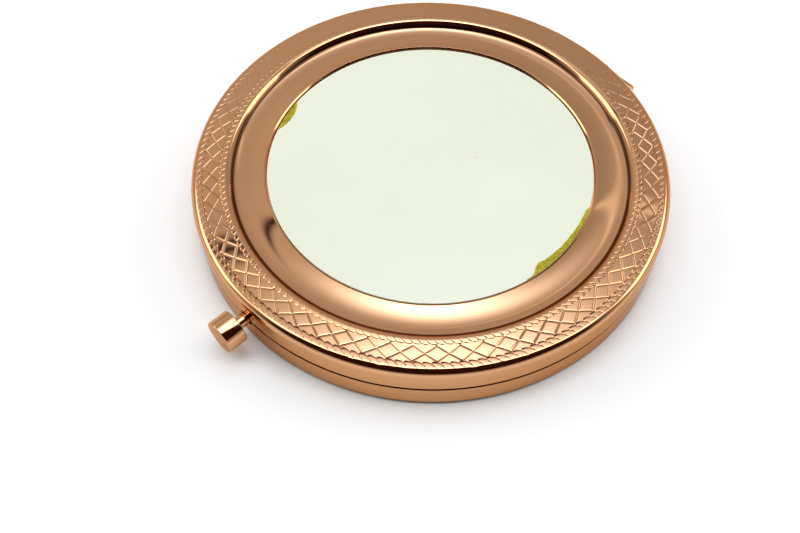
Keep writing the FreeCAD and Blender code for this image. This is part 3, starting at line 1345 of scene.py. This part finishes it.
@dataclass
class GlueBeads(Assembly):
    """Beads of glue that came up at the edge of the insert and set there."""

    body: Body = Body.LID
    height: float = 0.16
    edge_gap: float = 0.02
    steps: int = 60
    across: int = 12
    spans: tuple[Spot, ...] = ((194.6, 210.0), (-11.2, 27.1))

    full_width: float = 0.8
    crest_waver: float = 0.12
    crest_waves: int = 31
    sharp: float = 60.0

    @staticmethod
    def crescent(share: float) -> float:
        """Width of the short bead along its length."""
        ends, swell, fullness = 0.04, 1.05, 0.85
        return ends + swell * math.sin(math.pi * share) ** fullness

    @staticmethod
    def tapered(share: float) -> float:
        """Width of the long bead: a thin tail, a hump and a body that narrows slowly."""
        tail, onset, onset_length = 0.14, 0.125, 0.022
        start, taper = 1.22, 0.85
        hump_width, hump_place, hump_length = 0.28, 0.19, 0.06
        tip_length, tip_share = 0.04, 0.1
        swelling = 1 / (1 + math.exp(-(share - onset) / onset_length))
        body = (start - taper * share) * swelling
        hump = hump_width * math.exp(-(((share - hump_place) / hump_length) ** 2))
        return (tail * (1 - swelling) + body + hump) * min(1.0, (1 - share) / tip_length + tip_share)

    @staticmethod
    def ripple(share: float) -> float:
        """Unevenness of a bead's width along its length, about 1."""
        coarse, coarse_waves, fine, fine_waves = 0.03, 23, 0.02, 61
        return 1 + coarse * math.sin(coarse_waves * share) + fine * math.sin(fine_waves * share + 1)

    def section(self, skin: Skin, edge: Spot, angle: float, wide: float, crest: float) -> Row:
        """Adds a row of points round a bead.

        Args:
            skin: Where it is added.
            edge: Radius and height at which the bead starts.
            angle: Angle about the case in radians.
            wide: Width of the bead there.
            crest: Its height there.

        Returns:
            The row.
        """
        points, thin = [], []
        for j in range(self.across + 1):
            place = j / self.across
            rise = crest * math.sqrt(max(0.0, 1 - (2 * place - 1) ** 2))
            points.append(UPRIGHT.point(edge[0] - wide * place, angle, edge[1] + rise))
            thin.append(max(0.0, 1 - rise / self.height))
        for j in range(self.across - 1, 0, -1):
            points.append(UPRIGHT.point(edge[0] - wide * j / self.across, angle, edge[1] - self.edge_gap))
            thin.append(1.0)
        row = skin.loop(points)
        for point, share in zip(row.points, thin):
            skin.engraving[point] = share
        return row

    def build(self) -> None:
        """Builds and dresses both beads as one piece."""
        corner = extent("insert_plate")[1]
        edge = (corner.x - self.edge_gap, corner.z)
        skin = Skin()
        for span, width in zip(self.spans, (self.crescent, self.tapered)):
            rows = []
            for k in range(self.steps + 1):
                share = k / self.steps
                angle = math.radians(span[0] + (span[1] - span[0]) * share)
                wide = width(share) * self.ripple(share)
                waver = 1 + self.crest_waver * math.sin(self.crest_waves * share)
                crest = self.height * min(1.0, wide / self.full_width) * waver
                rows.append(self.section(skin, edge, angle, wide, crest))
            for first, second in zip(rows, rows[1:]):
                skin.bridge(first, second)
            for row in (rows[0], rows[-1]):
                middle = sum((skin.points[p] for p in row.points), Vector()) / len(row.points)
                skin.cap(row, middle)
        self.settle(skin.made("glue_beads", self.sharp), SET_GLUE, "glue_squeeze_out")


@dataclass
class Base(Assembly):
    """Base pan, with the glass and bezel in it."""

    body: Body = Body.BASE
    wall: float = 1.0
    sheet: float = 0.6
    foot_round: float = 0.6
    # Painted shade along the foot: its depth, the height it reaches up the wall and how it fades upwards.
    painted_foot_shade: float = 2.0
    foot_shade_height: float = 0.4
    foot_shade_fade: float = 0.5
    seam_bevel: float = 0.24
    stem_clearance: float = 0.3
    web_spans: tuple[Spot, ...] = ((3.95, 9.35), (-9.35, -3.95))
    web_floor: float = 3.22
    wall_clear: float = 2.8
    count: int = 300

    def shell(self) -> bpy.types.Object:
        """The base pan with its rounded foot, painted shade along the foot, and the notches in its edge.

        Returns:
            The piece.
        """
        low, high = extent("base_shell")
        seam = (high.z + extent("lid_shell")[0].z) / 2
        stem_hole = extent("button_stem")[1].x + self.stem_clearance
        webs = [Notch.square(Side.REAR, span, self.web_floor, high.z) for span in self.web_spans]
        notches = (Notch.round(Side.FRONT, stem_hole, seam, -1), *webs)
        skin = Skin()
        inner = high.x - self.wall
        wall = Wall(high.x, inner, high.z, -1, self.seam_bevel, self.wall_clear, notches)
        inside, here = wall.build(skin)
        foot = (high.x - self.foot_round, self.foot_round)
        # Painted shade along the foot, darkest at the bottom, fading out up the wall to this first row.
        here = skin.bridge(here, skin.ring((high.x, self.foot_round + self.foot_shade_height), self.count))
        for spot in Outline((high.x, self.foot_round)).arc(foot, self.foot_round, 0, -90).spots:
            foot_shade = self.painted_foot_shade * (1 - self.foot_shade_fade * spot[1] / self.foot_round)
            here = skin.bridge(here, skin.ring(spot, self.count, foot_shade))
        here = skin.bridge(here, skin.ring((foot[0] - self.foot_round, low.z), self.count))
        skin.cap(here, Vector((0, 0, 0)))
        skin.cap(skin.bridge(inside, skin.ring((inner, self.sheet), self.count)), Vector((0, 0, self.sheet)))
        return skin.made("base_shell_plated")

    def build(self) -> None:
        """Builds and dresses the base."""
        self.settle(self.shell(), ROSE_GOLD, "base_shell")
        self.carry(PLATED_PLASTIC, "base_bezel")
        self.carry(MIRROR_GLASS, "base_mirror")
        self.carry(DRAWN_STEEL, "latch_guide")


def turned(placement: Placement, radius: float, ends: Spot, rounding: float, count: int) -> Skin:
    """A plain disc or rod with rounded edges.

    Args:
        placement: Its axis.
        radius: Its radius.
        ends: Where it starts and ends along the axis.
        rounding: Radius of its edges.
        count: Points around.

    Returns:
        The mesh in the making.
    """
    start, end = ends
    outline = Outline((0, start)).corner((radius, start), (radius, end), rounding)
    outline.corner((radius, end), (0, end), rounding).to((0, end))
    skin = Skin(placement)
    skin.turn(outline, count)
    return skin


@dataclass
class MirrorPad(Assembly):
    """Foam disc behind a glass, a little uneven at its cut edge."""

    body: Body
    node: str
    edge_round: float = 0.12
    waver: float = 0.12
    waves: tuple[int, int] = (7, 17)
    count: int = 180

    def build(self) -> None:
        """Builds and dresses the pad."""
        low, high = extent(self.node)
        skin = turned(UPRIGHT, high.x - self.waver, (low.z, high.z), self.edge_round, self.count)
        for k, point in enumerate(skin.points):
            reach = math.hypot(point.x, point.y)
            if reach > high.x / 2:
                angle = math.atan2(point.y, point.x)
                swing = math.sin(self.waves[0] * angle) + math.sin(self.waves[1] * angle + 1)
                grown = 1 + self.waver / reach * 0.5 * swing
                skin.points[k] = Vector((point.x * grown, point.y * grown, point.z))
        pad = self.settle(skin.made(self.node + "_foam"), FOAM_TAPE, self.node)


@dataclass
class Hinge(Assembly):
    """Leaves and pin of the hinge."""

    body: Body = Body.BASE
    end_round: float = 0.12
    count: int = 48

    def build(self) -> None:
        """Builds and dresses the hinge."""
        low, high = extent("hinge_pin")
        middle = (low + high) / 2
        radius = (high.z - low.z) / 2
        axis = Placement(Vector((0, middle.y, middle.z)), Y_AXIS, Z_AXIS, X_AXIS)
        skin = turned(axis, radius, (low.x, high.x), self.end_round, self.count)
        self.settle(skin.made("hinge_pin_domed"), DRAWN_STEEL, "hinge_pin")
        self.carry(ROSE_GOLD, "base_hinge_leaf", "lid_hinge_leaf")


@dataclass
class Button(Assembly):
    """Turned knob on its stem, and the latch slide behind it."""

    body: Body = Body.BUTTON
    edge_round: float = 0.12
    socket_round: float = 0.08
    socket_gap: float = 0.01
    knob_count: int = 120
    stem_count: int = 72

    def axis(self) -> Placement:
        """Axis of the button, outwards to the front."""
        low, high = extent("button_knob")
        return Placement(Vector((0, 0, (low.z + high.z) / 2)), X_AXIS, Z_AXIS, -Y_AXIS)

    def knob(self) -> bpy.types.Object:
        """The knob, with its socket.

        Returns:
            The piece.
        """
        low, high = extent("button_knob")
        back, face, radius = -high.y, -low.y, high.x
        bore = extent("button_stem")[1].x + self.socket_gap
        seat = -extent("button_stem")[0].y
        outline = Outline((0, seat)).to((bore, seat))
        outline.corner((bore, back), (radius, back), self.socket_round)
        outline.corner((radius, back), (radius, face), self.edge_round)
        outline.corner((radius, face), (0, face), self.edge_round)
        outline.to((0, face))
        skin = Skin(self.axis())
        skin.turn(outline, self.knob_count)
        return skin.made("button_knob_turned")

    def stem(self) -> bpy.types.Object:
        """The stem, with softened ends.

        Returns:
            The piece.
        """
        low, high = extent("button_stem")
        skin = turned(self.axis(), high.x, (-high.y, -low.y), self.edge_round, self.stem_count)
        return skin.made("button_stem_turned")

    def build(self) -> None:
        """Builds and dresses the button."""
        self.settle(self.knob(), ROSE_GOLD, "button_knob")
        self.settle(self.stem(), ROSE_GOLD, "button_stem")
        self.carry(DRAWN_STEEL, "latch_slide")


@dataclass
class LatchSpring(Assembly):
    """Compression coil that returns the button, with closed end turns."""

    body: Body = Body.BASE
    wire_radius: float = 0.11
    turns: int = 3
    steps: int = 40
    sides: int = 12
    block_length: float = 1.2
    sharp: float = 50.0

    def build(self) -> None:
        """Builds and dresses the spring."""
        low, high = extent("latch_spring")
        middle = (low + high) / 2
        radius = (high.x - low.x) / 2 - self.wire_radius
        start, end = low.y + self.wire_radius, high.y - self.wire_radius
        skin = Skin()
        rows = []
        total = self.turns * self.steps
        for k in range(total + 1):
            share = k / total
            angle = TURN * self.turns * share
            spoke = X_AXIS * math.cos(angle) + Z_AXIS * math.sin(angle)
            centre = Vector((middle.x, start + (end - start) * share, middle.z)) + spoke * radius
            ring = [
                centre + (spoke * math.cos(t) + Y_AXIS * math.sin(t)) * self.wire_radius
                for t in (TURN * j / self.sides for j in range(self.sides))
            ]
            row = skin.loop(ring)
            if rows:
                skin.bridge(rows[-1], row)
            else:
                skin.cap(row, centre)
            rows.append(row)
        skin.cap(rows[-1], centre)
        spring = self.settle(skin.made("latch_spring_coil", self.sharp), DRAWN_STEEL, "latch_spring")
        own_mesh(spring)


@dataclass(frozen=True)
class Studio:
    """Camera, light and floor."""

    lens: float = 42.75
    sensor: float = 36.0
    stand: tuple[float, float, float] = (62.583, -64.836, 115.856)
    heading: float = 46.87
    tilt: float = 33.6395
    roll: float = -0.354
    floor_size: float = 6000.0
    floor_gap: float = 0.01
    room_left: Colour = (0.73, 0.71, 0.66)
    room_right: Colour = (0.51, 0.49, 0.455)
    low: Colour = (0.56, 0.53, 0.48)
    shade: Colour = (0.035, 0.011, 0.008)
    halo: Colour = (5.5, 6.4, 7.9)
    panel: Colour = (5.9, 5.8, 5.6)
    glint: Colour = (1.15, 1.15, 1.1)
    floor_tone: Colour = (0.96, 0.96, 0.95)
    floor_glow: Colour = (0.05, 0.056, 0.058)
    clip_start: float = 0.005
    horizon: float = 0.02
    halo_share: float = 0.7
    halo_place: Spot = (0.02, -0.12)
    halo_spread: Spot = (0.28, 0.35)
    halo_bend: float = 0.13
    halo_lean: float = 0.3
    near_edge: float = 0.09
    near_flare: float = 0.1
    flare_end: float = 0.6
    edge_softness: float = 0.05
    panel_rise: Spot = (0.1, 0.3)
    strip_share: float = 0.84
    strip_start: Spot = (-0.1, 0.0)
    strip_end: Spot = (0.7, 1.0)
    wing_share: float = 0.5
    wing_start: Spot = (0.95, 1.2)
    wing_rear: Spot = (-1.2, -0.9)
    wing_end: Spot = (3.0, 4.0)
    dark_side: Spot = (0.05, 0.45)
    dark_rise: Spot = (0.14, 0.34)
    room_sides: Spot = (-0.6, 0.6)
    room_rise: Spot = (0.12, 0.6)
    shelf: tuple[Spot, Spot, float] = ((-0.75, -0.53), (-0.2, -0.655), 0.035)
    lamp: tuple[Spot, Spot, float] = ((0.12, -0.79), (0.75, -0.68), 0.025)

    def camera(self) -> None:
        """Sets up the camera where the photograph was taken from."""
        data = bpy.data.cameras.new("camera")
        data.lens = self.lens
        data.sensor_width = self.sensor
        data.sensor_fit = "HORIZONTAL"
        data.clip_start = self.clip_start
        camera = bpy.data.objects.new("camera", data)
        heading = Matrix.Rotation(math.radians(self.heading), 4, "Z")
        tilt = Matrix.Rotation(math.radians(self.tilt), 4, "X")
        roll = Matrix.Rotation(math.radians(self.roll), 4, "Z")
        camera.matrix_world = Matrix.Translation(Vector(self.stand) * MM) @ heading @ tilt @ roll
        bpy.context.scene.collection.objects.link(camera)
        bpy.context.scene.camera = camera

    @staticmethod
    def streak(ahead: Term, beside: Term, start: Spot, end: Spot, width: float) -> Term:
        """A thin straight thing in the room, such as the edge of a shelf.

        Args:
            ahead: Slope of the direction towards the camera's side.
            beside: Slope of the direction to the right.
            start: Slopes to the right and ahead at its left end.
            end: The same at its right end.
            width: Half its width.

        Returns:
            Its share, from 0 to 1.
        """
        fall = (end[1] - start[1]) / (end[0] - start[0])
        off = (ahead - start[1] - (beside - start[0]) * fall) / width
        share = math.e ** (off * off * -1.0)
        lead, fade = 0.15, 0.1
        begun = beside.smooth(start[0] - lead, start[0] + fade)
        return share * begun * (1 - beside.smooth(end[0] - fade, end[0] + fade))

    def light(self) -> None:
        """Lights the scene: a wide panel overhead, a room around it and a dark side behind the camera."""
        world = bpy.data.worlds.new("studio")
        bpy.context.scene.world = world
        world.use_nodes = True
        shader = Shader(world.node_tree)
        x, y, z = shader.split(shader.node("ShaderNodeTexCoord", {}, {}, "Generated"))
        turn = math.radians(self.heading)
        near = x * math.sin(turn) - y * math.cos(turn)
        right = x * math.cos(turn) + y * math.sin(turn)
        rise = z.at_least(self.horizon)
        ahead = near / rise
        beside = right / rise
        aside = (beside * beside) ** 0.5
        along = (ahead - self.halo_place[1]).at_most(0.0)
        lean = (along + self.halo_bend).at_most(0.0) * self.halo_lean
        across = (beside - self.halo_place[0] + lean) / self.halo_spread[0]
        off = across * across + along * along / self.halo_spread[1] ** 2
        halo = self.halo_share * math.e ** (off * -1.0)
        near_edge = aside.at_most(self.flare_end) * self.near_flare + self.near_edge
        bound = 1 - (ahead - near_edge).smooth(-self.edge_softness, self.edge_softness)
        bound = bound * z.smooth(*self.panel_rise)
        strip = self.strip_share * ahead.smooth(*self.strip_start) * (1 - aside.smooth(*self.strip_end))
        wings = self.wing_share * aside.smooth(*self.wing_start) * ahead.smooth(*self.wing_rear)
        wings = wings * (1 - aside.smooth(*self.wing_end))
        panel = strip.at_least(wings) * bound
        facing = near / (near * near + right * right + SMALL) ** 0.5
        dark = facing.smooth(*self.dark_side) * z.smooth(*self.dark_rise)
        room = shader.mix(right.smooth(*self.room_sides), self.room_left, self.room_right)
        tone = shader.mix(z.smooth(*self.room_rise), self.low, room)
        for share, colour in (
            (dark, self.shade),
            (self.streak(ahead, beside, *self.shelf), self.shade),
            (self.streak(ahead, beside, *self.lamp), self.glint),
            (halo * bound, self.halo),
            (panel, self.panel),
        ):
            tone = shader.mix(share, tone, colour)
        background = shader.node("ShaderNodeBackground", {}, {"Color": tone, "Strength": 1.0})
        shader.node("ShaderNodeOutputWorld", {}, {"Surface": background})

    def floor(self) -> None:
        """Lays a plain white floor that keeps the shadow of the object."""
        half = self.floor_size / 2 * MM
        level = -self.floor_gap * MM
        mesh = bpy.data.meshes.new("floor")
        corners = [(-half, -half, level), (half, -half, level), (half, half, level), (-half, half, level)]
        mesh.from_pydata(corners, [], [(0, 1, 2, 3)])
        floor = bpy.data.objects.new("floor", mesh)
        bpy.context.scene.collection.objects.link(floor)
        material = bpy.data.materials.new("floor")
        material.use_nodes = True
        shader = Shader(material.node_tree)
        path = shader.node("ShaderNodeLightPath", {}, {}, "Is Camera Ray")
        outputs = path.socket.node.outputs
        seen = path + Term(shader, outputs["Is Glossy Ray"]) + Term(shader, outputs["Is Transmission Ray"])
        diffuse = shader.node("ShaderNodeBsdfDiffuse", {}, {"Color": self.floor_tone})
        inputs = {"Color": self.floor_glow, "Strength": seen.at_most(1.0)}
        glow = shader.node("ShaderNodeEmission", {}, inputs)
        surface = shader.node("ShaderNodeAddShader", {}, {0: diffuse, 1: glow})
        shader.node("ShaderNodeOutputMaterial", {}, {"Surface": surface})
        mesh.materials.append(material)

    def build(self) -> None:
        """Sets up the camera, the light and the floor."""
        self.camera()
        self.light()
        self.floor()
        bpy.context.scene.view_settings.view_transform = "Standard"


def main() -> None:
    """Builds the scene around the frame."""
    logging.basicConfig(level=logging.INFO, format="%(message)s")
    Studio().build()
    parts: list[Assembly] = [
        Base(), Lid(), GlueBeads(), Hinge(), Button(), LatchSpring(),
        MirrorPad(Body.BASE, "base_mirror_pad"), MirrorPad(Body.LID, "lid_mirror_pad"),
    ]
    for part in parts:
        part.build()


if __name__ == "__main__":
    main()
